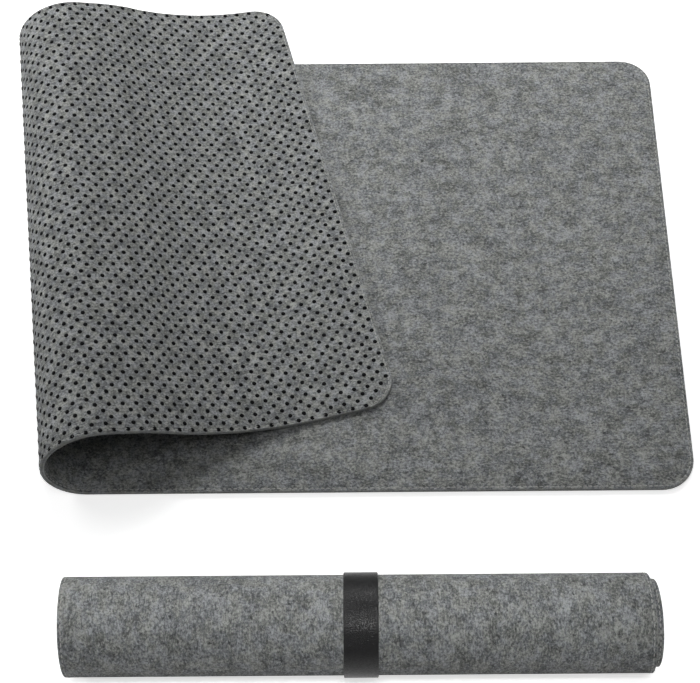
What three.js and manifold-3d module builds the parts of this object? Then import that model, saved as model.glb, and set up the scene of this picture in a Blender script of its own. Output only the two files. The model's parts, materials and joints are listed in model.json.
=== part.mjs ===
// Felt desk pad, shown twice: open with one end turned over, and rolled up in its leather band.
// Millimetres, +Z up, and the desk is the plane z = 0. The origin is the centre of the open pad's
// underside as it lies flat, +X runs along the pad's length and +Y towards its far long edge.

import * as THREE from 'three';
import { mergeVertices } from 'three/addons/utils/BufferGeometryUtils.js';
import Module from 'manifold-3d';

const wasm = await Module();
wasm.setup();

// Driving dimensions of the pad: two felts sewn together, with grip dots under the lower one
const padLength = 800;
const padDepth = 400;
const cornerRadius = 25;
const plyThickness = 1.75;
const dotHeight = 0.4;
const dotMargin = 2; // bare felt between the outermost dots and the pad's edge
const layerGap = 0.05; // between one layer and the next

// Driving dimensions of the turned-over end, angles in degrees
const foldAngle = 7.1; // between the fold lines and the pad's short edges
const foldGap = 0.3; // between two strips that meet at a fold line
const loopFolds = 9;
const loopStripWidth = 13.8; // felt between two fold lines of the loop
const loopFirstTurn = 26.4;
const loopLastTurn = 18.5;
const dropStripWidth = 39.4; // felt between the loop and the fold line that starts the way down
const dropTurn = 12.7;
const sweepFolds = 3;
const sweepStripWidth = 40.8; // felt between the fold lines that lay the end back on the pad
const flapLength = 53.7; // felt past the last fold line, on the pad's long centre line
const restGap = 0.3; // between the turned-over end and the pad under it

// Driving dimensions of the rolled pad
const rollCentreX = 148;
const rollOffset = 117; // from the open pad's near edge to the roll's axis
const coreRadius = 9; // of the innermost turn, at the middle of the pad's thickness
const wrapGap = 0.2; // between one turn and the next
const turnSteps = 30; // flat steps in one turn
const wrapShiftWidth = 5; // how far a turn stands out past the turn around it
const shiftedTurns = 1.5; // turns at the outside that are shifted
const freeEndAngle = -50; // of the roll's outer edge, from the back, upwards

// Driving dimensions of the band
const bandWidth = 23.5;
const bandThickness = 1.4;
const bandClearance = 0.3;
const bandOffset = 5; // from the middle of the roll to the middle of the band
const lapAngle = 42; // share of the turn where the band's ends overlap
const lapRise = 20; // share of the turn in which the outer end climbs on the inner end
const lapPlace = -40; // where the inner end begins, from the back, upwards
const lapGap = 0.3;

const radians = THREE.MathUtils.degToRad;
const fullTurn = 2 * Math.PI;

// Layers of the pad, from the desk upwards
const underFeltBottom = dotHeight + layerGap;
const faceFeltBottom = underFeltBottom + plyThickness + layerGap;
const padThickness = faceFeltBottom + plyThickness;
const layers = [
  { name: 'grip_dots', bottom: 0, thickness: dotHeight, margin: dotMargin },
  { name: 'under_felt', bottom: underFeltBottom, thickness: plyThickness, margin: 0 },
  { name: 'face_felt', bottom: faceFeltBottom, thickness: plyThickness, margin: 0 },
];

// Finishes
const finishes = {
  grip_dots: { color: 0x17181a, roughness: 0.55, metalness: 0 },
  under_felt: { color: 0x74777a, roughness: 0.95, metalness: 0 },
  face_felt: { color: 0x787a7b, roughness: 0.95, metalness: 0 },
  leather: { color: 0x1b1c1e, roughness: 0.42, metalness: 0 },
};

function namedMesh(name, geometry, finish) {
  const mesh = new THREE.Mesh(geometry, new THREE.MeshStandardMaterial(finishes[finish]));
  mesh.name = name;
  return mesh;
}

// Cutting: a closed geometry as a solid, and a solid as a geometry
function solidOf(geometry) {
  const bare = geometry.clone();
  bare.deleteAttribute('normal');
  bare.deleteAttribute('uv');
  const merged = mergeVertices(bare);
  const vertProperties = merged.attributes.position.array;
  const triVerts = new Uint32Array(merged.index.array);
  return new wasm.Manifold(new wasm.Mesh({ numProp: 3, vertProperties, triVerts }));
}

function geometryOf(solid) {
  const mesh = solid.getMesh();
  const geometry = new THREE.BufferGeometry();
  geometry.setAttribute('position', new THREE.BufferAttribute(mesh.vertProperties, 3));
  geometry.setIndex(new THREE.BufferAttribute(mesh.triVerts, 1));
  geometry.computeVertexNormals();
  return geometry;
}

// The pad's outline as it lies flat, drawn in by a margin
function padOutline(margin) {
  const right = padLength / 2 - margin;
  const far = padDepth / 2 - margin;
  const radius = Math.max(cornerRadius - margin, 0.1);
  const quarter = Math.PI / 2;
  const outline = new THREE.Shape();
  outline.absarc(right - radius, far - radius, radius, 0, quarter);
  outline.absarc(radius - right, far - radius, radius, quarter, 2 * quarter);
  outline.absarc(radius - right, radius - far, radius, 2 * quarter, 3 * quarter);
  outline.absarc(right - radius, radius - far, radius, 3 * quarter, 4 * quarter);
  return outline;
}

// One whole flat layer in the fold frame: its origin is on the first fold line, +X runs square to
// the fold lines towards the part of the pad that lies flat, and +Y runs along them.
const cornerSteps = 8;

function flatLayer(layer) {
  const settings = { depth: layer.thickness, bevelEnabled: false, curveSegments: cornerSteps };
  const geometry = new THREE.ExtrudeGeometry(padOutline(layer.margin), settings);
  geometry.translate(-foldOffset, 0, layer.bottom);
  geometry.rotateZ(-radians(foldAngle));
  return solidOf(geometry);
}

// Fold lines: the turn at each one, and the felt between it and the next. The loop's turns fall
// evenly, and the sweep's turns bring the end level again.
const loopTurns = Array.from({ length: loopFolds }, (_, i) =>
  THREE.MathUtils.lerp(loopFirstTurn, loopLastTurn, i / (loopFolds - 1)),
);
const raisedTurn = loopTurns.reduce((sum, turn) => sum + turn, dropTurn);
const sweepTurn = (180 - raisedTurn) / sweepFolds;

const strips = [
  ...loopTurns.map((turn, i) => ({
    name: `loop_${i + 1}`,
    turn: radians(turn),
    length: i < loopFolds - 1 ? loopStripWidth : dropStripWidth,
  })),
  { name: 'drop', turn: radians(dropTurn), length: 0 },
  ...Array.from({ length: sweepFolds - 1 }, (_, i) => ({
    name: `sweep_${i + 1}`,
    turn: radians(sweepTurn),
    length: sweepStripWidth,
  })),
  { name: 'flap', turn: radians(sweepTurn), length: padLength },
];

// The drop is as long as it takes to bring the flap down on the pad's face.
function dropLength() {
  let heading = 0;
  let height = 0;
  let dropHeading = 0;
  for (const strip of strips.slice(0, -1)) {
    heading += strip.turn;
    height += strip.length * Math.sin(heading);
    if (strip.name === 'drop') dropHeading = heading;
  }
  const flapUnderside = 2 * padThickness + restGap;
  return (flapUnderside - height) / Math.sin(dropHeading);
}
strips.find((strip) => strip.name === 'drop').length = dropLength();

// The first fold line crosses the pad's long centre line where it leaves felt for all the strips.
const flapStart = strips.slice(0, -1).reduce((sum, strip) => sum + strip.length, 0);
const turnedLength = (flapStart + flapLength) / Math.cos(radians(foldAngle));
const foldOffset = turnedLength - padLength / 2;

// A cutter for one strip, in the fold frame: its ends are mitred where the felt bends upwards, so
// that neighbours keep the fold gap at rest and open away from each other as the end is laid flat.
const cutMargin = 1;

function mitre(turn) {
  return Math.tan(Math.max(turn, 0) / 2);
}

function stripCutter(right, rightTurn, left, leftTurn) {
  const rightAt = (z) => right - foldGap / 2 - z * mitre(rightTurn);
  const leftAt = (z) => left + foldGap / 2 + z * mitre(leftTurn);
  const bottom = -cutMargin;
  const top = padThickness + cutMargin;
  const section = new THREE.Shape([
    new THREE.Vector2(leftAt(bottom), bottom),
    new THREE.Vector2(rightAt(bottom), bottom),
    new THREE.Vector2(rightAt(top), top),
    new THREE.Vector2(leftAt(top), top),
  ]);
  const reach = padLength + padDepth;
  const geometry = new THREE.ExtrudeGeometry(section, { depth: 2 * reach, bevelEnabled: false });
  geometry.translate(0, 0, -reach);
  geometry.rotateX(Math.PI / 2);
  return solidOf(geometry);
}

// The open pad: the base lies on the desk, and each strip hangs on the strip before it.
function openPad() {
  const flat = layers.map((layer) => ({ ...layer, solid: flatLayer(layer) }));
  const pad = new THREE.Group();
  pad.position.x = foldOffset;
  pad.rotation.z = radians(foldAngle);

  function addStrip(group, name, cutter, hinge) {
    for (const layer of flat) {
      const geometry = geometryOf(layer.solid.intersect(cutter));
      geometry.translate(-hinge, 0, 0);
      group.add(namedMesh(`${name}_${layer.name}`, geometry, layer.name));
    }
  }

  addStrip(pad, 'base', stripCutter(padLength, 0, 0, strips[0].turn), 0);
  let parent = pad;
  let hinge = 0;
  let stepBefore = 0;
  strips.forEach((strip, i) => {
    const group = new THREE.Group();
    group.position.x = -stepBefore;
    group.rotation.y = strip.turn;
    const next = hinge - strip.length;
    const nextTurn = i + 1 < strips.length ? strips[i + 1].turn : 0;
    addStrip(group, strip.name, stripCutter(hinge, strip.turn, next, nextTurn), hinge);
    parent.add(group);
    parent = group;
    hinge = next;
    stepBefore = strip.length;
  });
  return pad;
}

// The roll: the pad's middle follows a spiral that grows by one wrap in each turn. Angles along
// the spiral are counted from the core, and the face felt is outside.
const wrapPitch = padThickness + wrapGap;
const growth = wrapPitch / fullTurn;
const woundAngle = (Math.sqrt(coreRadius ** 2 + 2 * growth * padLength) - coreRadius) / growth;
const freeEnd = radians(freeEndAngle);

function middleRadius(angle) {
  return coreRadius + growth * angle;
}

function woundLength(angle) {
  return coreRadius * angle + (growth * angle ** 2) / 2;
}

// How far the pad's rounded corners draw its long edges in, near either end
function cornerInset(length, margin) {
  const fromEnd = Math.min(length, padLength - length) - margin;
  const radius = cornerRadius - margin;
  if (fromEnd >= radius) return margin;
  return cornerRadius - Math.sqrt(Math.max(radius ** 2 - (radius - fromEnd) ** 2, 0));
}

// The angles along the spiral where the layers have their corners, from the roll's outer end
// inwards. The second and the last but one are where the dots begin and end.
function woundStations() {
  const step = fullTurn / turnSteps;
  const lastDots = dotMargin / coreRadius;
  const stations = [woundAngle, woundAngle - dotMargin / middleRadius(woundAngle)];
  for (let angle = woundAngle - step; angle > lastDots + step / 4; angle -= step) {
    stations.push(angle);
  }
  return [...stations, lastDots, 0];
}

function woundLayer(layer) {
  const stations = layer.margin > 0 ? woundStations().slice(1, -1) : woundStations();
  const positions = [];
  for (const angle of stations) {
    const clock = freeEnd + (woundAngle - angle);
    const shift = wrapShiftWidth * Math.min((woundAngle - angle) / fullTurn, shiftedTurns);
    const half = padDepth / 2 - cornerInset(woundLength(angle), layer.margin);
    const inner = middleRadius(angle) - padThickness / 2 + layer.bottom;
    for (const radius of [inner, inner + layer.thickness]) {
      for (const side of [-1, 1]) {
        positions.push(shift + side * half, radius * Math.cos(clock), radius * Math.sin(clock));
      }
    }
  }
  // Corners at each station: 0 inner left, 1 inner right, 2 outer left, 3 outer right
  const around = [0, 1, 3, 2];
  const perStation = around.length;
  const faces = [];
  const addQuad = (a, b, c, d) => faces.push(a, b, c, a, c, d);
  for (let i = 0; i + 1 < stations.length; i += 1) {
    around.forEach((corner, j) => {
      const next = around[(j + 1) % perStation];
      const here = perStation * i;
      const there = here + perStation;
      addQuad(here + corner, here + next, there + next, there + corner);
    });
  }
  const end = perStation * (stations.length - 1);
  addQuad(2, 3, 1, 0);
  addQuad(end, end + 1, end + 3, end + 2);
  const geometry = new THREE.BufferGeometry();
  geometry.setAttribute('position', new THREE.Float32BufferAttribute(positions, 3));
  geometry.setIndex(faces);
  geometry.computeVertexNormals();
  return geometry;
}

// The band follows the roll's outermost turn, and runs straight from the roll's outer edge to the
// turn below it. The angle past the outer edge is counted back along the spiral.
const outerTurnRadius = middleRadius(woundAngle) + padThickness / 2 + bandClearance;
const bridgeAngle = Math.acos((outerTurnRadius - wrapPitch) / outerTurnRadius);

function bandInnerRadius(clock) {
  const past = THREE.MathUtils.euclideanModulo(freeEnd - clock, fullTurn);
  const along = Math.max(past, bridgeAngle);
  const felt = middleRadius(woundAngle - fullTurn + along) + padThickness / 2 + bandClearance;
  return past < bridgeAngle ? felt / Math.cos(bridgeAngle - past) : felt;
}

// The strap is one strip that goes once round and laps over its own beginning.
function bandSection() {
  const start = radians(lapPlace);
  const lap = radians(lapAngle);
  const rise = radians(lapRise);
  const steps = Math.ceil(((fullTurn + lap) / fullTurn) * turnSteps * 2);
  const inner = [];
  const outer = [];
  for (let i = 0; i <= steps; i += 1) {
    const angle = ((fullTurn + lap) * i) / steps;
    const climb = THREE.MathUtils.smoothstep(angle, fullTurn - rise, fullTurn - rise / 6);
    const lift = climb * (bandThickness + lapGap);
    const clock = start + angle;
    const radius = bandInnerRadius(clock) + lift;
    const direction = new THREE.Vector2(Math.cos(clock), Math.sin(clock));
    inner.push(direction.clone().multiplyScalar(radius));
    outer.push(direction.clone().multiplyScalar(radius + bandThickness));
  }
  return [...outer, ...inner.reverse()];
}

// The rolled pad rests on its band.
function rolledPad() {
  const section = bandSection();
  const lowest = Math.min(...section.map((point) => point.y));
  const roll = new THREE.Group();
  roll.position.set(rollCentreX, -padDepth / 2 - rollOffset, -lowest);
  for (const layer of layers) {
    roll.add(namedMesh(`roll_${layer.name}`, woundLayer(layer), layer.name));
  }
  const settings = { depth: bandWidth, bevelEnabled: false };
  const strap = new THREE.ExtrudeGeometry(new THREE.Shape(section), settings);
  strap.translate(0, 0, bandOffset - bandWidth / 2);
  // The section's x and y lie along the part's +Y and +Z, and its depth along +X.
  strap.applyMatrix4(new THREE.Matrix4().makeBasis(
    new THREE.Vector3(0, 1, 0),
    new THREE.Vector3(0, 0, 1),
    new THREE.Vector3(1, 0, 0),
  ));
  roll.add(namedMesh('band_strap', strap, 'leather'));
  return roll;
}

const deskPad = new THREE.Group();
deskPad.add(openPad(), rolledPad());

export default deskPad;
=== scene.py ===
"""Felt desk pad, shown twice: open with one end turned over, and rolled up in a leather band.

Metres, +Z up. The frame gives the fold lines. Each ply is drawn as one flat plate with rounded,
sewn edges, and its points are then carried onto the folded or the wound pad.
"""

import json
import math

import bmesh
import bpy
import numpy as np
from mathutils import Matrix, Vector

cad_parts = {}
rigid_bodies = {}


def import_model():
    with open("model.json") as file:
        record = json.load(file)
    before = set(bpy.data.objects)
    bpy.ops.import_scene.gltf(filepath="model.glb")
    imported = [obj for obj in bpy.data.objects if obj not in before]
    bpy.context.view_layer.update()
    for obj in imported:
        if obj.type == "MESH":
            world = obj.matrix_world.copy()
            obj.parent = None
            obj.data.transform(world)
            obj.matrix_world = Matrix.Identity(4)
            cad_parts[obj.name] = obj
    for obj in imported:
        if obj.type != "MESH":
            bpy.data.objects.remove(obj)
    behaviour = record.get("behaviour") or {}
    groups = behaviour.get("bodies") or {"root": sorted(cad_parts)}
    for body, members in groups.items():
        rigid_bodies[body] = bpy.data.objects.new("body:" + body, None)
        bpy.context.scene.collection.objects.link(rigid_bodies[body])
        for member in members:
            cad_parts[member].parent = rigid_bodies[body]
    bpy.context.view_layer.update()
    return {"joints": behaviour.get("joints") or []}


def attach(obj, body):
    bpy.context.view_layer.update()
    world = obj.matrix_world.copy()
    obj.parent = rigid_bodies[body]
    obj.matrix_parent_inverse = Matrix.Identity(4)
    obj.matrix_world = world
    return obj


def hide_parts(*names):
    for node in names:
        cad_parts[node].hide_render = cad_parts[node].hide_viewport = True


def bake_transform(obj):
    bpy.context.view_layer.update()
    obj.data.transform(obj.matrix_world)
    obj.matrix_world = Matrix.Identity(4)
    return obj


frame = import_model()

MM = 0.001
FULL_TURN = 2 * math.pi

# Pad: outline, plies and the heights of their faces above the desk
PAD_LENGTH = 800 * MM
PAD_DEPTH = 400 * MM
CORNER_RADIUS = 25 * MM
CORNER_STEPS = 14
UNDER_LOW = 0.45 * MM
UNDER_HIGH = 2.2 * MM
FACE_LOW = 2.25 * MM
FACE_HIGH = 4.0 * MM
PAD_THICKNESS = FACE_HIGH
EDGE_ROUND = 0.7 * MM
EDGE_STEPS = 3

# Seam: one line all round that draws the felt in a little
SEAM_INSET = 2.3 * MM
SEAM_WIDTH = 1.6 * MM
SEAM_SINK = 0.3 * MM
# Form of the groove: place in half widths, share of the depth
GROOVE_FORM = ((-1.0, 0.0), (-0.5, 0.6), (0.0, 1.0), (0.5, 0.6), (1.0, 0.0))

# Stitches: they dive into the felt at both ends and stand a little out of the groove
STITCH_PITCH = 4.0 * MM
STITCH_LENGTH = 2.7 * MM
STITCH_DIVE = 0.35 * MM
FACE_STITCH_LIFT = 0.2 * MM
UNDER_STITCH_LIFT = 0.35 * MM
DIRECTION_STEP = 0.5 * MM
THREAD_RADIUS = 0.38 * MM
THREAD_SIDES = 6
# Form of half a stitch, from its middle: place in lengths, share of the radius, share of the dive
THREAD_FORM = [(0.0, 1.0, 0.0), (0.38, 0.85, 0.35), (0.5, 0.35, 1.0)]

# Grip dots: a square lattice with one more dot in the middle of each square
DOT_PITCH = 10.4 * MM
DOT_START = (-364.3 * MM, -135.3 * MM)
DOT_RADIUS = 1.84 * MM
# Least distance from the middle of a dot to the edge of the pad
DOT_EDGE = 1.9 * MM
DOT_SIDES = 8
DOT_FOOT = 0.15 * MM
DOT_SHOULDER = 0.24 * MM
DOT_SHOULDER_SHARE = 0.86
DOT_HEIGHT = 0.42 * MM

# Bending: how finely the folds are rounded, and where the plies of the open pad are cut
STRAIGHT_RUN = 1000 * MM
ARC_STEPS = 12
SHARP_TURN = math.radians(15)
SHARP_CUTS = 8
GENTLE_CUTS = 6
BASE_CUTS = 13
BASE_CUT_STEP = 40 * MM
SIDE_CUTS = 10
SIDE_CUT_STEP = 25 * MM
CUT_TOLERANCE = 0.001 * MM

# Roll: the outer turns lie shifted along it, and the free end of the felt is at a clock angle
ROLL_CENTRE = (148 * MM, -317 * MM, 33.85 * MM)
CORE_RADIUS = 9 * MM
WRAP_PITCH = 4.2 * MM
WRAP_SHIFT = 5 * MM
SHIFTED_TURNS = 1.5
FREE_END = math.radians(-50)
ROLL_STEP = math.radians(5)
ROLL_SIDE_CUTS = 3
ROLL_SIDE_STEP = 50 * MM
CORE_DOT_TURNS = 1.1

# Band
BAND_WIDTH = 23.5 * MM
BAND_THICKNESS = 1.4 * MM
BAND_CLEARANCE = 0.3 * MM
BAND_OFFSET = 5 * MM
BAND_STEPS = 220
BAND_ROUND = 0.45 * MM
BAND_ROUND_STEPS = 4
# Points across the faces of the strap, in half widths
BAND_FACE_PLACES = (0.5, 0.0, -0.5)

# Lap of the band, with its rows of stitches
LAP_ANGLE = math.radians(42)
LAP_RISE = math.radians(20)
LAP_LEVEL = LAP_RISE / 6
LAP_PLACE = math.radians(-40)
LAP_GAP = 0.3 * MM
LAP_ROWS = (math.radians(10), math.radians(34))
LAP_STITCHES = 5
LAP_STITCH_PITCH = 4.2 * MM
LAP_STITCH_LENGTH = 3 * MM
LAP_STITCH_DIVE = 0.4 * MM

# Colours, from dark to light
FELT_COLOURS = ((0.060, 0.063, 0.063), (0.182, 0.188, 0.188), (0.385, 0.393, 0.388))
FACE_BRIGHTNESS = 1.0
# The under ply is painted lighter: painted light on the turned-over flap, which shows it
UNDER_PAINTED_LIGHT_BRIGHTNESS = 1.05
COOL_TINT = (0.98, 0.995, 1.03, 1.0)
WARM_TINT = (1.01, 1.01, 0.965, 1.0)
RUBBER_COLOURS = ((0.003, 0.003, 0.0035), (0.007, 0.007, 0.0075))
LEATHER_COLOURS = ((0.004, 0.004, 0.0045), (0.008, 0.008, 0.0085))
EDGE_THREAD_COLOURS = ((0.35, 0.35, 0.335), (0.5, 0.5, 0.48))
BAND_THREAD_COLOURS = ((0.012, 0.012, 0.013), (0.03, 0.03, 0.032))

# Felt: the sums of noise that are darkest and lightest, its two directions of fibres, its cut edge
FELT_DARK = 1.3
FELT_LIGHT = 2.0
FIBRE_TURNS = (0.6, -0.9)
FIBRE_STRETCH = (0.4, 1.5, 1.0)
# The cut edge is paler: partly the felt's own cut tone, partly painted light for the rims
CUT_EDGE_TONE_AND_PAINTED_LIGHT = (0.44, 0.445, 0.435, 1.0)
CUT_EDGE_TONE_AND_PAINTED_LIGHT_WEIGHT = 0.45
CUT_EDGE_SHARE = 0.8

# Floor, world and camera
WHITE = (1.0, 1.0, 1.0, 1.0)
FLOOR_REACH = 25.0
FLOOR_COLOUR = (0.8, 0.8, 0.8, 1.0)
CAMERA_GLOW = 0.64
GLOSSY_GLOW = 0.42
WORLD_STRENGTH = 0.1
CAMERA_PLACE = Vector((149.94 * MM, -766.23 * MM, 1179.79 * MM))
CAMERA_PITCH = math.radians(59.485)
CAMERA_YAW = math.radians(-0.267)
CAMERA_ROLL = math.radians(-0.688)
CAMERA_REACH = 50.0
FOCAL_PIXELS = 1776.77
PHOTO_WIDTH_PIXELS = 700
SENSOR_WIDTH = 36.0


# Fold lines, read from the frame
folds = [j for j in frame["joints"] if j["name"].startswith("unfold_")]
fold_points = np.array([j["pos_m"] for j in folds], float)
along = -np.array(folds[0]["axis"], float)
across = np.array([along[1], -along[0], 0.0])
strip_bodies = [folds[0]["parent"]] + [j["child"] for j in folds]
fold_steps = np.diff(fold_points, axis=0)
strip_lengths = np.linalg.norm(fold_steps, axis=1)
strip_headings = np.unwrap(
    np.concatenate([[0.0], np.arctan2(fold_steps[:, 2], -fold_steps @ across), [math.pi]])
)
fold_places = np.concatenate([[0.0], np.cumsum(strip_lengths)])
strip_middles = fold_places[:-1] + strip_lengths / 2


def half_strips(k):
    """Half the lengths of the strips before and after fold line k"""
    before = strip_lengths[max(k - 1, 0)]
    after = strip_lengths[min(k, len(strip_lengths) - 1)]
    return before / 2, after / 2


def rounded_section():
    """The pad's section square to the fold lines, with each fold rounded between its two strips.

    Rows are: distance from the first fold line, place across, height, heading. The second result
    is the distances at which the felt is cut to bend."""
    rows = [(-STRAIGHT_RUN, STRAIGHT_RUN, 0.0, 0.0)]
    stations = []
    for k, point in enumerate(fold_points):
        reach = min(half_strips(k))
        first, last = strip_headings[k], strip_headings[k + 1]
        turn = last - first
        radius = reach / math.tan(turn / 2)
        place = (point - fold_points[0]) @ across
        start = (place + reach * math.cos(first), point[2] - reach * math.sin(first))
        centre = (start[0] + radius * math.sin(first), start[1] + radius * math.cos(first))
        for i in range(ARC_STEPS + 1):
            heading = first + turn * i / ARC_STEPS
            rows.append(
                (
                    fold_places[k] + reach * (2 * i / ARC_STEPS - 1),
                    centre[0] - radius * math.sin(heading),
                    centre[1] - radius * math.cos(heading),
                    heading,
                )
            )
        cuts = SHARP_CUTS if abs(turn) > SHARP_TURN else GENTLE_CUTS
        stations += [fold_places[k] + reach * (2 * i / cuts - 1) for i in range(cuts + 1)]
    distance, place, height, heading = rows[-1]
    end_place = place - STRAIGHT_RUN * math.cos(heading)
    rows.append((distance + STRAIGHT_RUN, end_place, height, heading))
    return np.array(rows), sorted(stations)


section, bend_stations = rounded_section()


def fold_distance(points):
    """How far points of the flat pad lie past the first fold line"""
    return -(points - fold_points[0]) @ across


def folded(points):
    """Carries points of the flat pad, whose z is the height in the felt, onto the folded pad"""
    points = np.asarray(points, float)
    distance = fold_distance(points)
    side = (points - fold_points[0]) @ along
    height = points[:, 2]
    heading = np.interp(distance, section[:, 0], section[:, 3])
    place = np.interp(distance, section[:, 0], section[:, 1]) + height * np.sin(heading)
    level = np.interp(distance, section[:, 0], section[:, 2]) + height * np.cos(heading)
    spot = fold_points[0] + place[:, None] * across + side[:, None] * along
    spot[:, 2] = level
    return spot


# The roll's spiral, counted from the core
growth = WRAP_PITCH / FULL_TURN


def spiral_angle(length):
    """The angle after which a length of felt is wound up"""
    return (np.sqrt(CORE_RADIUS**2 + 2 * growth * length) - CORE_RADIUS) / growth


def spiral_length(angle):
    """The length of felt that is wound up in an angle"""
    return CORE_RADIUS * angle + growth * angle**2 / 2


wound_angle = spiral_angle(PAD_LENGTH)


def wound(points):
    """Carries points of the flat pad onto the roll: the pad's left end is at the core"""
    points = np.asarray(points, float)
    angle = spiral_angle(np.clip(points[:, 0] + PAD_LENGTH / 2, 0, PAD_LENGTH))
    clock = FREE_END + wound_angle - angle
    shift = WRAP_SHIFT * np.minimum((wound_angle - angle) / FULL_TURN, SHIFTED_TURNS)
    radius = CORE_RADIUS + growth * angle + points[:, 2] - PAD_THICKNESS / 2
    return np.stack(
        [
            ROLL_CENTRE[0] + shift - points[:, 1],
            ROLL_CENTRE[1] + radius * np.cos(clock),
            ROLL_CENTRE[2] + radius * np.sin(clock),
        ],
        axis=1,
    )


def outline(inset):
    """Points round the pad's outline, drawn in by an inset"""
    radius = CORNER_RADIUS - inset
    x = PAD_LENGTH / 2 - CORNER_RADIUS
    y = PAD_DEPTH / 2 - CORNER_RADIUS
    points = []
    for quarter, centre in enumerate(((x, y), (-x, y), (-x, -y), (x, -y))):
        for step in range(CORNER_STEPS + 1):
            angle = (quarter + step / CORNER_STEPS) * math.pi / 2
            points.append(
                (centre[0] + radius * math.cos(angle), centre[1] + radius * math.sin(angle))
            )
    return points


def edge_loops(low, high, sewn_high):
    """Insets and heights from the lower face, round the edge, to the upper face.

    The groove of the seam lies in the upper face if sewn_high, or else in the lower one."""
    loops = []
    for step in range(EDGE_STEPS + 1):
        angle = step / EDGE_STEPS * math.pi / 2
        drawn = EDGE_ROUND * (1 - math.sin(angle))
        loops.append((drawn, low + EDGE_ROUND * (1 - math.cos(angle))))
    for inset, height in reversed(list(loops)):
        loops.append((inset, low + high - height))
    half = SEAM_WIDTH / 2
    groove = [(SEAM_INSET + place * half, share * SEAM_SINK) for place, share in GROOVE_FORM]
    if sewn_high:
        return loops + [(inset, high - sink) for inset, sink in groove]
    return [(inset, low + sink) for inset, sink in reversed(groove)] + loops


def plate(loops, cuts):
    """Points and faces of a flat closed plate, cut by planes given by a point and a normal"""
    bm = bmesh.new()
    rings = []
    for inset, height in loops:
        rings.append([bm.verts.new((x, y, height)) for x, y in outline(inset)])
    count = len(rings[0])
    for ring, above in zip(rings, rings[1:]):
        for i in range(count):
            j = (i + 1) % count
            bm.faces.new((ring[i], ring[j], above[j], above[i]))
    bm.faces.new(list(reversed(rings[0])))
    bm.faces.new(rings[-1])
    for point, normal in cuts:
        bmesh.ops.bisect_plane(
            bm,
            geom=bm.verts[:] + bm.edges[:] + bm.faces[:],
            dist=CUT_TOLERANCE,
            plane_co=point,
            plane_no=normal,
        )
    bm.verts.index_update()
    points = np.array([v.co[:] for v in bm.verts])
    faces = [[v.index for v in face.verts] for face in bm.faces]
    bm.free()
    return points, faces


def shade_smooth(mesh):
    """Shades all faces of a mesh smooth"""
    mesh.polygons.foreach_set("use_smooth", [True] * len(mesh.polygons))


def new_mesh(name, points, faces):
    """A smooth mesh of points and faces"""
    mesh = bpy.data.meshes.new(name)
    mesh.from_pydata([tuple(p) for p in points], [], faces)
    shade_smooth(mesh)
    mesh.update()
    return mesh


def smooth_normals(points, faces):
    """Normals of a whole sheet, so that its pieces shade as one"""
    mesh = new_mesh("whole", points, faces)
    normals = np.empty(len(points) * 3)
    mesh.vertices.foreach_get("normal", normals)
    bpy.data.meshes.remove(mesh)
    return normals.reshape(-1, 3)


def close_ends(mesh):
    """Closes the cut ends of a piece, where it meets its neighbours"""
    bm = bmesh.new()
    bm.from_mesh(mesh)
    open_edges = [edge for edge in bm.edges if edge.is_boundary]
    bmesh.ops.holes_fill(bm, edges=open_edges, sides=0)
    bm.to_mesh(mesh)
    bm.free()


def add_piece(name, points, faces, rest, material, normals=None):
    """A new piece. rest is where its points lie when flat, for the texture.

    Normals are given for felt, whose cut ends are then closed."""
    mesh = new_mesh(name, points, faces)
    if normals is not None:
        close_ends(mesh)
        shade_smooth(mesh)
        mesh.normals_split_custom_set_from_vertices([tuple(n) for n in normals])
    attribute = mesh.attributes.new("rest", "FLOAT_VECTOR", "POINT")
    attribute.data.foreach_set("vector", np.asarray(rest, np.float32).ravel())
    mesh.materials.append(material)
    piece = bpy.data.objects.new(name, mesh)
    bpy.context.scene.collection.objects.link(piece)
    return piece


def subset(faces, chosen, count):
    """The chosen faces with their points renumbered, and which points they use"""
    kept = [faces[i] for i in chosen]
    used = np.unique(np.concatenate([np.asarray(face) for face in kept]))
    number = np.full(count, -1)
    number[used] = np.arange(len(used))
    return [[int(number[v]) for v in face] for face in kept], used


# Small parts that are repeated
def dome():
    """A dot that hangs down, with its foot sunk in the felt"""
    points = []
    for share, height in ((1.0, DOT_FOOT), (DOT_SHOULDER_SHARE, -DOT_SHOULDER)):
        for i in range(DOT_SIDES):
            angle = FULL_TURN * i / DOT_SIDES
            radius = share * DOT_RADIUS
            points.append((radius * math.cos(angle), radius * math.sin(angle), height))
    points.append((0.0, 0.0, -DOT_HEIGHT))
    tip = len(points) - 1
    faces = [list(range(DOT_SIDES))]
    for i in range(DOT_SIDES):
        j = (i + 1) % DOT_SIDES
        faces.append([i, DOT_SIDES + i, DOT_SIDES + j, j])
        faces.append([DOT_SIDES + i, tip, DOT_SIDES + j])
    return np.array(points), faces


def thread(length, dive):
    """A stitch along x that dives in at both ends"""
    rows = [(-place, share, sunk) for place, share, sunk in reversed(THREAD_FORM[1:])]
    rows += THREAD_FORM
    points = []
    for place, share, sunk in rows:
        for i in range(THREAD_SIDES):
            angle = FULL_TURN * i / THREAD_SIDES
            points.append(
                (
                    place * length,
                    share * THREAD_RADIUS * math.cos(angle),
                    share * THREAD_RADIUS * math.sin(angle) - sunk * dive,
                )
            )
    faces = [list(reversed(range(THREAD_SIDES)))]
    for row in range(len(rows) - 1):
        for i in range(THREAD_SIDES):
            j = (i + 1) % THREAD_SIDES
            a = row * THREAD_SIDES
            b = a + THREAD_SIDES
            faces.append([a + j, b + j, b + i, a + i])
    last = (len(rows) - 1) * THREAD_SIDES
    faces.append([last + i for i in range(THREAD_SIDES)])
    return np.array(points), faces


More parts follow.
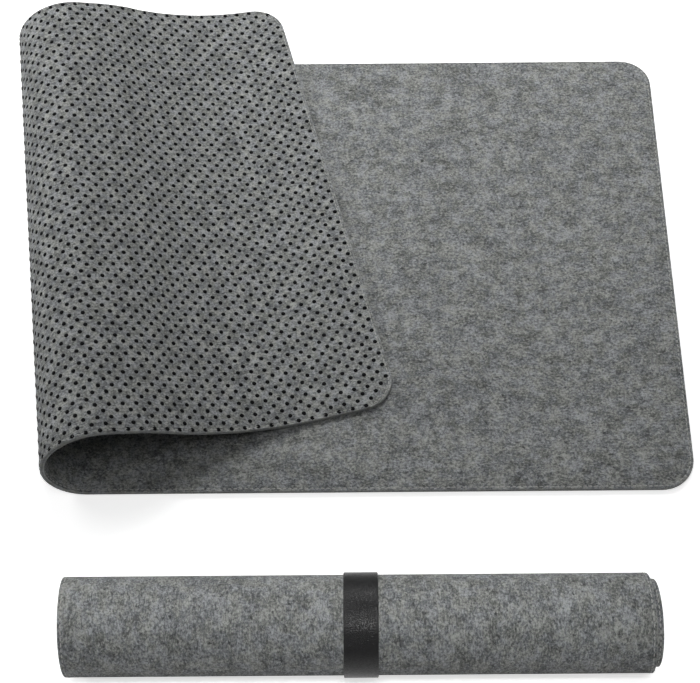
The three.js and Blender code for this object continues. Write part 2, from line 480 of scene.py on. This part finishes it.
def repeated(shape, places, directions, up):
    """Copies of a small shape on the flat pad. With up at -1 the shape is upside down."""
    points, faces = shape
    directions = np.asarray(directions, float)
    sides = np.stack([-directions[:, 1], directions[:, 0]], axis=1) * up
    spots = np.empty((len(places), len(points), 3))
    for axis in range(2):
        spots[:, :, axis] = (
            np.asarray(places)[:, None, axis]
            + directions[:, None, axis] * points[None, :, 0]
            + sides[:, None, axis] * points[None, :, 1]
        )
    spots[:, :, 2] = np.asarray(places)[:, None, 2] + up * points[None, :, 2]
    copies = []
    for i in range(len(places)):
        shift = i * len(points)
        copies += [[shift + v for v in face] for face in faces]
    return spots.reshape(-1, 3), copies


def seam_places(height):
    """Middles and directions of the stitches, evenly spaced round the seam"""
    path = np.array(outline(SEAM_INSET))
    path = np.vstack([path, path[:1]])
    steps = np.linalg.norm(np.diff(path, axis=0), axis=1)
    run = np.concatenate([[0.0], np.cumsum(steps)])
    count = int(run[-1] / STITCH_PITCH)
    middles = (np.arange(count) + 0.5) * run[-1] / count
    next_middles = middles + DIRECTION_STEP
    places = np.stack([np.interp(middles, run, path[:, i]) for i in range(2)], axis=1)
    ahead = np.stack([np.interp(next_middles, run, path[:, i]) for i in range(2)], axis=1)
    directions = ahead - places
    directions /= np.linalg.norm(directions, axis=1)[:, None]
    return np.column_stack([places, np.full(count, height)]), directions


def dot_places():
    """Middles of the dots on the flat pad, up to its edge"""
    found = []
    reach = int(PAD_LENGTH / DOT_PITCH) + 2
    for half in (0.0, 0.5):
        for i in range(-reach, reach):
            for j in range(-reach, reach):
                x = DOT_START[0] + (i + half) * DOT_PITCH
                y = DOT_START[1] + (j + half) * DOT_PITCH
                past_x = max(abs(x) - (PAD_LENGTH / 2 - CORNER_RADIUS), 0.0)
                past_y = max(abs(y) - (PAD_DEPTH / 2 - CORNER_RADIUS), 0.0)
                if math.hypot(past_x, past_y) < CORNER_RADIUS - DOT_EDGE:
                    found.append((x, y, UNDER_LOW))
    return np.array(found)


# Materials
class Nodes:
    """Short ways to add nodes to a material"""

    def __init__(self, name):
        self.material = bpy.data.materials.new(name)
        self.material.use_nodes = True
        self.tree = self.material.node_tree
        self.shader = self.tree.nodes["Principled BSDF"]

    def add(self, kind, settings=None, **inputs):
        """A new node. In the name of an input, an underscore stands for a space."""
        node = self.tree.nodes.new(kind)
        for key, value in (settings or {}).items():
            setattr(node, key, value)
        for key, value in inputs.items():
            self.put(node, key.replace("_", " "), value)
        return node

    def put(self, node, key, value):
        """Links a socket to a node's input, or sets the input. The key is a name or a number."""
        socket = node.inputs[key]
        if isinstance(value, bpy.types.NodeSocket):
            self.tree.links.new(value, socket)
        else:
            socket.default_value = value

    def surface(self, inputs):
        """Links or sets inputs of the material's shader"""
        for key, value in inputs.items():
            self.put(self.shader, key, value)

    def rest(self):
        """Where a point lies when the felt or the strap is flat"""
        return self.add("ShaderNodeAttribute", {"attribute_name": "rest"}).outputs["Vector"]

    def maths(self, operation, a, b=0.0):
        node = self.add("ShaderNodeMath", {"operation": operation})
        self.put(node, 0, a)
        self.put(node, 1, b)
        return node.outputs[0]

    def vector(self, operation, a, b=(0.0, 0.0, 0.0), output="Vector"):
        node = self.add("ShaderNodeVectorMath", {"operation": operation})
        self.put(node, 0, a)
        self.put(node, 1, b)
        return node.outputs[output]

    def weighted(self, parts):
        """The sum of values, each times its weight"""
        total = 0.0
        for value, weight in parts:
            total = self.maths("ADD", total, self.maths("MULTIPLY", value, weight))
        return total

    def stretched(self, vector, scale, turn=0.0):
        rotation = (0.0, 0.0, turn)
        node = self.add("ShaderNodeMapping", Vector=vector, Scale=scale, Rotation=rotation)
        return node.outputs["Vector"]

    def noise(self, vector, scale, detail=3.0, roughness=0.55, distortion=0.0):
        """Noise from 0 to 1. The scale is per metre."""
        node = self.add(
            "ShaderNodeTexNoise",
            Vector=vector,
            Scale=scale,
            Detail=detail,
            Roughness=roughness,
            Distortion=distortion,
        )
        return node.outputs["Fac"]

    def ranged(self, value, low, high, to_low=0.0, to_high=1.0):
        """Takes a value from one range to another, with soft ends"""
        node = self.add(
            "ShaderNodeMapRange",
            {"interpolation_type": "SMOOTHSTEP"},
            Value=value,
            From_Min=low,
            From_Max=high,
            To_Min=to_low,
            To_Max=to_high,
        )
        return node.outputs["Result"]

    def ramp(self, value, places, colours):
        """Colours at places along a value"""
        node = self.add("ShaderNodeValToRGB", Fac=value)
        elements = node.color_ramp.elements
        while len(elements) < len(places):
            elements.new(0.5)
        for element, place, colour in zip(elements, places, colours):
            element.position = place
            element.color = (*colour, 1.0)
        return node.outputs["Color"]

    def mix(self, factor, first, second, blend="MIX"):
        """Mixes two colours: inputs 6 and 7 of the node, and its output 2"""
        node = self.add("ShaderNodeMix", {"data_type": "RGBA", "blend_type": blend})
        self.put(node, 0, factor)
        self.put(node, 6, first)
        self.put(node, 7, second)
        return node.outputs[2]

    def bump(self, height, strength, distance):
        node = self.add("ShaderNodeBump", Height=height, Strength=strength, Distance=distance)
        return node.outputs["Normal"]


def cut_edge(n, place):
    """1 on the cut edge all round the pad and 0 on its faces"""
    # The last value is far above the felt, so that the height takes no part
    corner = (PAD_LENGTH / 2 - CORNER_RADIUS, PAD_DEPTH / 2 - CORNER_RADIUS, 1.0)
    away = n.vector("SUBTRACT", n.vector("ABSOLUTE", place), corner)
    past = n.vector("LENGTH", n.vector("MAXIMUM", away), output="Value")
    start = CORNER_RADIUS - EDGE_ROUND
    return n.ranged(past, start, start + EDGE_ROUND * CUT_EDGE_SHARE)


def felt_material(name, brightness):
    """Pressed wool felt: mottled greys, short crossing fibres, a soft nap"""
    n = Nodes(name)
    place = n.rest()
    cloud = n.noise(place, scale=75.0, detail=4.0, roughness=0.6)
    patch = n.noise(n.stretched(place, (0.75, 1.0, 1.0)), scale=170.0, roughness=0.6)
    mottle = n.noise(place, scale=560.0, roughness=0.7, distortion=0.4)
    fibre_layers = []
    for turn in FIBRE_TURNS:
        drawn_out = n.stretched(place, FIBRE_STRETCH, turn)
        fibre_layers.append(n.noise(drawn_out, scale=900.0, detail=2.0, distortion=0.8))
    fibres = n.maths("ADD", *fibre_layers)
    shade = n.weighted([(cloud, 0.5), (patch, 0.45), (mottle, 1.15), (fibres, 0.45)])
    grain = n.noise(place, scale=2400.0, detail=2.0, roughness=0.7)
    spots = n.noise(n.stretched(place, (0.8, 1.0, 1.0), turn=0.3), scale=230.0)
    fleck = n.ranged(spots, 0.36, 0.24)
    shade = n.weighted([(shade, 1.0), (grain, 0.35), (fleck, -0.45)])
    level = n.ranged(shade, FELT_DARK, FELT_LIGHT)
    greys = [tuple(brightness * c for c in colour) for colour in FELT_COLOURS]
    colour = n.ramp(level, (0.0, 0.5, 1.0), greys)
    # Painted light, partly the cut edge's own tone: the edge all round is mixed towards pale grey
    edge = n.maths("MULTIPLY", cut_edge(n, place), CUT_EDGE_TONE_AND_PAINTED_LIGHT_WEIGHT)
    colour = n.mix(edge, colour, CUT_EDGE_TONE_AND_PAINTED_LIGHT)
    hue = n.ranged(n.noise(place, scale=140.0, detail=2.0), 0.38, 0.62)
    tint = n.mix(hue, COOL_TINT, WARM_TINT)
    n.surface(
        {
            "Base Color": n.mix(1.0, colour, tint, "MULTIPLY"),
            "Roughness": 0.95,
            "Specular IOR Level": 0.15,
            "Sheen Weight": 0.1,
            "Sheen Roughness": 0.6,
            "Normal": n.bump(shade, strength=0.6, distance=0.3 * MM),
        }
    )
    return n.material


def rubber_material():
    """Printed rubber dots: black, almost matt, a little uneven"""
    n = Nodes("grip_rubber")
    uneven = n.noise(n.rest(), scale=900.0, detail=2.0)
    n.surface(
        {
            "Base Color": n.ramp(uneven, (0.3, 0.75), RUBBER_COLOURS),
            "Roughness": n.ranged(uneven, 0.3, 0.7, to_low=0.5, to_high=0.7),
            "Specular IOR Level": 0.05,
            "Normal": n.bump(uneven, strength=0.25, distance=0.1 * MM),
        }
    )
    return n.material


def thread_material(name, colours):
    """Twisted sewing thread"""
    n = Nodes(name)
    twist = n.noise(n.rest(), scale=3200.0, detail=1.0)
    n.surface(
        {
            "Base Color": n.ramp(twist, (0.3, 0.7), colours),
            "Roughness": 0.75,
            "Normal": n.bump(twist, strength=0.6, distance=0.1 * MM),
        }
    )
    return n.material


def leather_material():
    """Black semi-gloss leather with a fine pebbled grain"""
    n = Nodes("band_leather")
    place = n.rest()
    to_edge = {"feature": "DISTANCE_TO_EDGE"}
    cells = n.add("ShaderNodeTexVoronoi", to_edge, Vector=place, Scale=800.0)
    pebble = n.ranged(cells.outputs["Distance"], 0.0, 0.22)
    fine = n.noise(place, scale=2400.0)
    broad = n.noise(place, scale=130.0, detail=2.0)
    height = n.maths("ADD", pebble, n.maths("MULTIPLY", fine, 0.6))
    uneven = n.maths("ADD", broad, n.maths("MULTIPLY", fine, 0.4))
    n.surface(
        {
            "Base Color": n.ramp(broad, (0.3, 0.7), LEATHER_COLOURS),
            "Roughness": n.ranged(uneven, 0.45, 0.95, to_low=0.29, to_high=0.34),
            "Specular IOR Level": 0.4,
            "Normal": n.bump(height, strength=0.6, distance=0.2 * MM),
        }
    )
    return n.material


face_felt = felt_material("face_felt", FACE_BRIGHTNESS)
# The under ply's extra brightness is painted light for the turned-over flap
under_felt = felt_material("under_felt", UNDER_PAINTED_LIGHT_BRIGHTNESS)
grip_rubber = rubber_material()
edge_thread = thread_material("edge_thread", EDGE_THREAD_COLOURS)
band_thread = thread_material("band_thread", BAND_THREAD_COLOURS)
band_leather = leather_material()


# The open pad, in pieces that each bend about one fold line
def pad_cuts():
    """Cuts across the open pad, where it bends and between its pieces, and cuts along it"""
    base_lines = [-BASE_CUT_STEP * i for i in range(1, BASE_CUTS + 1)]
    distances = bend_stations + list(strip_middles) + base_lines
    cuts = [(fold_points[0] - across * d, across) for d in distances]
    for i in range(-SIDE_CUTS, SIDE_CUTS + 1):
        cuts.append((fold_points[0] + along * (i * SIDE_CUT_STEP), along))
    return cuts


def piece_of(distance):
    """The number of the piece at a distance past the first fold line"""
    return np.searchsorted(strip_middles, distance)


def bend(piece, k):
    """Bakes the piece's placing; the ends of fold line k's strips are worked out but not used"""
    before, after = half_strips(k)
    ends = [fold_points[0] - across * (fold_places[k] + d) for d in (-before, after)]
    start, end = folded(np.array(ends))
    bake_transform(piece)


def stands_for(k, layer):
    """Names the solids that piece k of a layer replaces"""
    nodes = [f"{strip_bodies[k + 1]}_{layer}"]
    if k == 0:
        nodes.insert(0, f"{strip_bodies[0]}_{layer}")
    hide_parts(*nodes)


def add_ply(layer, low, high, sewn_high, material):
    """One ply of the open pad. The result is each piece with its flat points and its faces."""
    flat, faces = plate(edge_loops(low, high, sewn_high), pad_cuts())
    bent = folded(flat)
    normals = smooth_normals(bent, faces)
    middles = np.array([flat[face].mean(axis=0) for face in faces])
    owner = piece_of(fold_distance(middles))
    pieces = []
    for k in range(len(folds)):
        kept, used = subset(faces, np.flatnonzero(owner == k), len(flat))
        name = f"{layer}_{strip_bodies[k + 1]}"
        piece = add_piece(name, bent[used], kept, flat[used], material, normals[used])
        bend(piece, k)
        stands_for(k, layer)
        pieces.append((piece, flat[used], kept))
    return pieces


def add_small(layer, slot, flat, faces, each, material, replaced):
    """Dots or stitches of the open pad, shared out among the pieces that bend.

    each is the number of points of one dot or stitch."""
    bent = folded(flat)
    middles = flat.reshape(-1, each, 3).mean(axis=1)
    shape_owner = piece_of(fold_distance(middles))
    face_owner = np.array([shape_owner[face[0] // each] for face in faces])
    pieces = []
    for k in range(len(folds)):
        kept, used = subset(faces, np.flatnonzero(face_owner == k), len(flat))
        name = f"{layer}_{strip_bodies[k + 1]}"
        piece = add_piece(name, bent[used], kept, flat[used], material)
        bend(piece, k)
        if replaced:
            stands_for(k, layer)
        pieces.append(piece)
    return pieces


face_pieces = add_ply("face_felt", FACE_LOW, FACE_HIGH, True, face_felt)
under_pieces = add_ply("under_felt", UNDER_LOW, UNDER_HIGH, False, under_felt)

dots = dot_places()
dot_shape = dome()


def placed_dots(places):
    """Dots at places of the flat pad"""
    return repeated(dot_shape, places, np.tile((1.0, 0.0), (len(places), 1)), 1)


dot_pieces = add_small(
    "grip_dots", "grip_dots", *placed_dots(dots), len(dot_shape[0]), grip_rubber, True
)

stitch_shape = thread(STITCH_LENGTH, STITCH_DIVE)
face_stitches = repeated(stitch_shape, *seam_places(FACE_HIGH - SEAM_SINK + FACE_STITCH_LIFT), 1)
under_stitches = repeated(stitch_shape, *seam_places(UNDER_LOW + SEAM_SINK - UNDER_STITCH_LIFT), -1)
face_stitch_pieces = add_small(
    "face_stitches", "face_felt", *face_stitches, len(stitch_shape[0]), edge_thread, False
)
under_stitch_pieces = add_small(
    "under_stitches", "under_felt", *under_stitches, len(stitch_shape[0]), edge_thread, False
)


# The rolled pad
def roll_cuts():
    """Cuts across the felt at even angles of the spiral, and a few cuts along it"""
    angles = np.arange(0, wound_angle, ROLL_STEP)
    places = spiral_length(angles) - PAD_LENGTH / 2
    cuts = [((x, 0.0, 0.0), (1.0, 0.0, 0.0)) for x in places]
    for i in range(-ROLL_SIDE_CUTS, ROLL_SIDE_CUTS + 1):
        cuts.append(((0.0, i * ROLL_SIDE_STEP, 0.0), (0.0, 1.0, 0.0)))
    return cuts


def add_roll_ply(layer, low, high, sewn_high, material):
    """One ply of the rolled pad"""
    flat, faces = plate(edge_loops(low, high, sewn_high), roll_cuts())
    rolled = wound(flat)
    normals = smooth_normals(rolled, faces)
    piece = add_piece(f"roll_{layer}_wound", rolled, faces, flat, material, normals)
    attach(piece, "roll")
    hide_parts(f"roll_{layer}")
    return piece


roll_face = add_roll_ply("face_felt", FACE_LOW, FACE_HIGH, True, face_felt)
roll_under = add_roll_ply("under_felt", UNDER_LOW, UNDER_HIGH, False, under_felt)

core_length = spiral_length(CORE_DOT_TURNS * FULL_TURN)
core_points, core_faces = placed_dots(dots[dots[:, 0] + PAD_LENGTH / 2 < core_length])
roll_dots = add_piece("roll_dots_core", wound(core_points), core_faces, core_points, grip_rubber)
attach(roll_dots, "roll")
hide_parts("roll_grip_dots")

roll_stitch_points, roll_stitch_faces = face_stitches
roll_stitches = add_piece(
    "roll_stitches", wound(roll_stitch_points), roll_stitch_faces, roll_stitch_points, edge_thread
)
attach(roll_stitches, "roll")


# The band: one strap that goes once round the roll and laps over its own beginning
outer_turn = CORE_RADIUS + growth * wound_angle + PAD_THICKNESS / 2 + BAND_CLEARANCE
bridge = math.acos((outer_turn - WRAP_PITCH) / outer_turn)


def band_radius(clock):
    """Inner radius of the strap, which runs straight from the felt's free end to the turn below"""
    past = (FREE_END - clock) % FULL_TURN
    reached = max(past, bridge)
    radius = CORE_RADIUS + growth * (wound_angle - FULL_TURN + reached)
    radius += PAD_THICKNESS / 2 + BAND_CLEARANCE
    return radius / math.cos(bridge - past) if past < bridge else radius


def smoothstep(value, low, high):
    """A soft step from 0 at low to 1 at high"""
    share = min(max((value - low) / (high - low), 0.0), 1.0)
    return share * share * (3 - 2 * share)


def band_path(angle):
    """Inner radius and clock of the strap, at an angle from its beginning"""
    climb = smoothstep(angle, FULL_TURN - LAP_RISE, FULL_TURN - LAP_LEVEL)
    clock = LAP_PLACE + angle
    return band_radius(clock) + climb * (BAND_THICKNESS + LAP_GAP), clock


def band_point(angle, x, height):
    """A point of the strap: across its width, and at a height over its inner face"""
    radius, clock = band_path(angle)
    return (
        ROLL_CENTRE[0] + BAND_OFFSET + x,
        ROLL_CENTRE[1] + (radius + height) * math.cos(clock),
        ROLL_CENTRE[2] + (radius + height) * math.sin(clock),
    )


def strap_section():
    """Points round the strap's section: across its width, and through its thickness"""
    points = []
    corners = ((1, 1), (-1, 1), (-1, 0), (1, 0))
    for quarter, (side, top) in enumerate(corners):
        x = side * (BAND_WIDTH / 2 - BAND_ROUND)
        z = (BAND_THICKNESS - BAND_ROUND) if top else BAND_ROUND
        for step in range(BAND_ROUND_STEPS + 1):
            angle = (quarter + step / BAND_ROUND_STEPS) * math.pi / 2
            points.append((x + BAND_ROUND * math.cos(angle), z + BAND_ROUND * math.sin(angle)))
        if quarter in (0, 2):
            face_height = z + BAND_ROUND * (1 if top else -1)
            points += [(x * share, face_height) for share in BAND_FACE_PLACES]
    return points


def add_band():
    """The strap, closed at both ends"""
    full = FULL_TURN + LAP_ANGLE
    angles = [full * i / BAND_STEPS for i in range(BAND_STEPS + 1)]
    section_points = strap_section()
    count = len(section_points)
    points, rest, faces = [], [], []
    for angle in angles:
        for x, z in section_points:
            points.append(band_point(angle, x, z))
            rest.append((angle * outer_turn, x, z))
    for i in range(BAND_STEPS):
        for j in range(count):
            a = i * count + j
            b = i * count + (j + 1) % count
            faces.append([a, b, b + count, a + count])
    faces.append(list(reversed(range(count))))
    faces.append([BAND_STEPS * count + j for j in range(count)])
    strap = add_piece("band_leather_strap", points, faces, rest, band_leather)
    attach(strap, "band")
    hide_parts("band_strap")


def add_lap_stitches():
    """Two rows of stitches across the lap"""
    shape, shape_faces = thread(LAP_STITCH_LENGTH, LAP_STITCH_DIVE)
    points, rest, faces = [], [], []
    for row_angle in LAP_ROWS:
        for i in range(LAP_STITCHES):
            middle = (i - (LAP_STITCHES - 1) / 2) * LAP_STITCH_PITCH
            shift = len(points)
            for x, y, z in shape:
                angle = FULL_TURN + row_angle - y / outer_turn
                points.append(band_point(angle, middle + x, BAND_THICKNESS + z))
                rest.append((angle * outer_turn, middle + x, z))
            faces += [[shift + v for v in face] for face in shape_faces]
    stitches = add_piece("band_lap_stitches", points, faces, rest, band_thread)
    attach(stitches, "band")


add_band()
add_lap_stitches()


# Floor, light and camera
def add_floor():
    """A white floor that glows a little where the camera or a gloss sees it"""
    corners = [(-1, -1), (1, -1), (1, 1), (-1, 1)]
    points = [(FLOOR_REACH * x, FLOOR_REACH * y, 0.0) for x, y in corners]
    mesh = new_mesh("floor", points, [[0, 1, 2, 3]])
    floor = bpy.data.objects.new("floor", mesh)
    bpy.context.scene.collection.objects.link(floor)
    n = Nodes("floor_white")
    path = n.add("ShaderNodeLightPath")
    camera_rays = path.outputs["Is Camera Ray"]
    glossy_rays = path.outputs["Is Glossy Ray"]
    strength = n.weighted([(camera_rays, CAMERA_GLOW), (glossy_rays, GLOSSY_GLOW)])
    glow = n.add("ShaderNodeEmission", Color=WHITE, Strength=strength)
    diffuse = n.add("ShaderNodeBsdfDiffuse", Color=FLOOR_COLOUR)
    both = n.add("ShaderNodeAddShader")
    n.put(both, 0, diffuse.outputs[0])
    n.put(both, 1, glow.outputs[0])
    n.put(n.tree.nodes["Material Output"], "Surface", both.outputs[0])
    n.tree.nodes.remove(n.shader)
    mesh.materials.append(n.material)


def add_area_light(name, place, target, size, power, spread=180):
    """A lamp that faces a target.

    The size is in metres, the power in watts and the spread in degrees."""
    data = bpy.data.lights.new(name, "AREA")
    data.shape = "RECTANGLE"
    data.size, data.size_y = size
    data.energy = power
    data.spread = math.radians(spread)
    light = bpy.data.objects.new(name, data)
    bpy.context.scene.collection.objects.link(light)
    light.location = place
    direction = Vector(target) - Vector(place)
    light.rotation_euler = direction.to_track_quat("-Z", "Y").to_euler()


def add_world():
    """A faint even light from all sides"""
    world = bpy.data.worlds.new("studio")
    bpy.context.scene.world = world
    world.use_nodes = True
    background = world.node_tree.nodes["Background"]
    background.inputs["Color"].default_value = WHITE
    background.inputs["Strength"].default_value = WORLD_STRENGTH


def add_camera():
    """The camera as fitted to the photograph"""
    forward = Vector(
        (
            math.sin(CAMERA_YAW) * math.cos(CAMERA_PITCH),
            math.cos(CAMERA_YAW) * math.cos(CAMERA_PITCH),
            -math.sin(CAMERA_PITCH),
        )
    )
    level = Vector((math.cos(CAMERA_YAW), -math.sin(CAMERA_YAW), 0.0))
    upright = level.cross(forward)
    right = math.cos(CAMERA_ROLL) * level + math.sin(CAMERA_ROLL) * upright
    up = math.cos(CAMERA_ROLL) * upright - math.sin(CAMERA_ROLL) * level
    data = bpy.data.cameras.new("camera")
    data.sensor_width = SENSOR_WIDTH
    data.lens = FOCAL_PIXELS / PHOTO_WIDTH_PIXELS * SENSOR_WIDTH
    data.clip_end = CAMERA_REACH
    camera = bpy.data.objects.new("camera", data)
    bpy.context.scene.collection.objects.link(camera)
    turn = Matrix((right, up, -forward)).transposed()
    camera.matrix_world = Matrix.Translation(CAMERA_PLACE) @ turn.to_4x4()
    bpy.context.scene.camera = camera


add_floor()
add_world()
add_area_light(
    "key",
    place=(0.25, 0.95, 0.85),
    target=(0.22, 0.29, 0.0),
    size=(1.15, 0.8),
    power=2.7,
    spread=56,
)
add_area_light(
    "strip",
    place=(0.15, -0.45, 0.47),
    target=(0.15, -0.34, 0.03),
    size=(0.5, 0.04),
    power=0.09,
    spread=32,
)
add_area_light(
    "left",
    place=(-1.0, 0.55, 0.6),
    target=(-0.1, 0.0, 0.05),
    size=(0.8, 0.5),
    power=7.5,
)
add_area_light(
    "above",
    place=(0.15, -0.42, 1.7),
    target=(0.1, -0.1, 0.0),
    size=(1.2, 0.8),
    power=4.4,
)
add_camera()
bpy.context.scene.view_settings.view_transform = "Standard"
